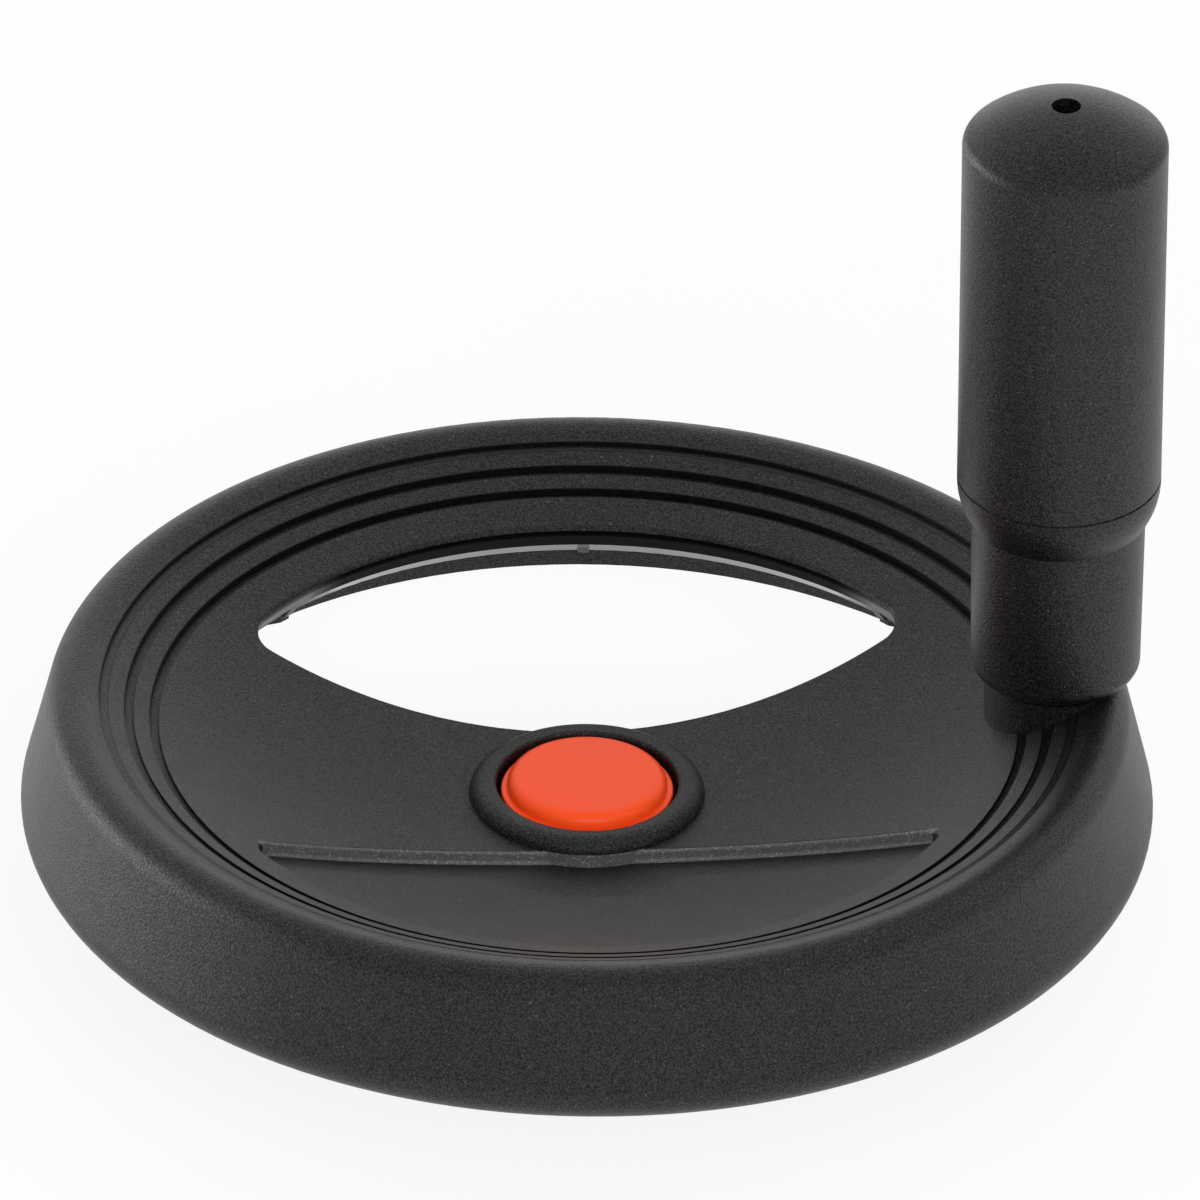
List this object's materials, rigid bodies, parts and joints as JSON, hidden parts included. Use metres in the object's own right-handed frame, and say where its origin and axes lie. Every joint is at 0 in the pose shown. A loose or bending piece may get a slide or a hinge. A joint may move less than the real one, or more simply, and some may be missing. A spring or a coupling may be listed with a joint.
{
  "type": "machine handwheel",
  "caption": "Dished black plastic handwheel with a lens-shaped opening, steel-bushed bore, orange hub cap and a revolving cylindrical grip standing on the rim",
  "frame": {"origin": "on the bore axis at the back face of the hub, where the wheel seats on its shaft shoulder", "axes": "+Z along the bore axis from the back of the hub to the dished front and the grip; +Y towards the lens-shaped opening; +X a quarter turn from it on the grip's side, 3 degrees short of the grip axis"},
  "size_m": [0.1256, 0.125, 0.1052],
  "materials": {
    "wheel_plastic": "fine-textured matte black",
    "grip_plastic": "fine-textured matte black",
    "cap_orange": "glossy orange red",
    "bush_steel": "turned steel",
    "insert_brass": "turned brass",
    "spindle_steel": "blackened steel",
    "ring_steel": "spring steel"
  },
  "bodies": {
    "wheel_body": {"wheel": "wheel_plastic", "hub_bush": "bush_steel", "hub_cap": "cap_orange", "threaded_insert": "insert_brass", "handle_spindle": "spindle_steel", "retaining_ring": "ring_steel"},
    "handle": {"handle_grip": "grip_plastic"}
  },
  "joints": [
    {"name": "handle_spin", "type": "hinge", "parent": "wheel_body", "child": "handle", "pos_m": [0.05173, 0.00271, 0.033], "axis": [0, 0, 1], "continuous": true}
  ]
}
